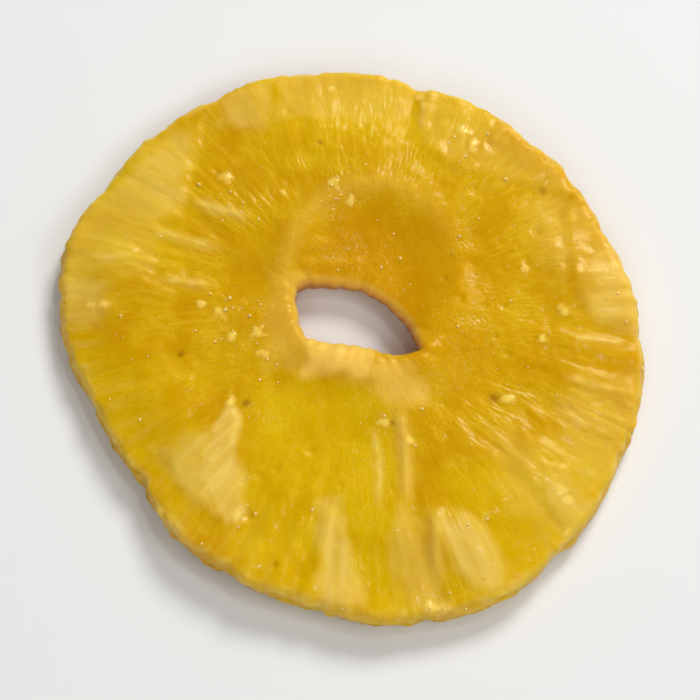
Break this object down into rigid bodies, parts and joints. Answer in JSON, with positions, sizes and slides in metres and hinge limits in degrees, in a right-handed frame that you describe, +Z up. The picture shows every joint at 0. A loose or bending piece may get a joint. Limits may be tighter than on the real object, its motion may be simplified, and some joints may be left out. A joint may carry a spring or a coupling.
{
  "type": "dried pineapple ring",
  "caption": "Thin slice of candied dried pineapple: a wavy round ring with a lobed rim, radial fibre relief and an off-round core hole in a sunken dish.",
  "frame": {"origin": "under the middle of the slice's bounding box, on the plane it lies on", "axes": "+Z up out of the upper cut face, +X to the right and +Y away from the viewer in the picture"},
  "size_m": [0.0704, 0.0702, 0.0065],
  "materials": {
    "candied_fruit": "translucent golden candied flesh with paler, drier wedges and rim, slightly glossy and dusted with sugar"
  },
  "bodies": {
    "root": {"pineapple_ring": "candied_fruit"}
  },
  "joints": []
}
